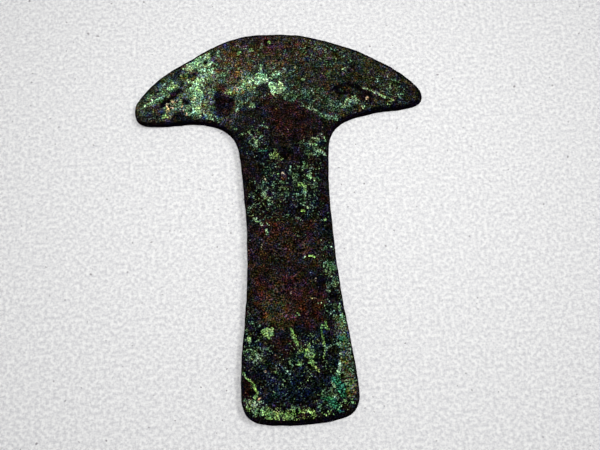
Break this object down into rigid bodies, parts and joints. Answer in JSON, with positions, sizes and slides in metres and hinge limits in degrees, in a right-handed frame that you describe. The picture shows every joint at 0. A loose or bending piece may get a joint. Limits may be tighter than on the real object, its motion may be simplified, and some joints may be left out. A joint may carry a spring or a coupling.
{
  "type": "ceremonial tumi knife",
  "caption": "Flat tumi knife of patinated copper alloy: a crescent blade with a thinned outer edge on a flaring shank with a blunt foot.",
  "frame": {"origin": "middle of the box in plan, at the level of the flat back that the knife lies on", "axes": "+Y up the shank towards the cutting edge, +X across the blade towards the sharper wing, +Z out of the face, away from the surface that it lies on"},
  "size_m": [0.097, 0.135, 0.005],
  "materials": {
    "patinated_copper": "dull dark brown and black copper patina with patches of green corrosion crust"
  },
  "bodies": {
    "root": {"tumi_knife": "patinated_copper"}
  },
  "joints": []
}
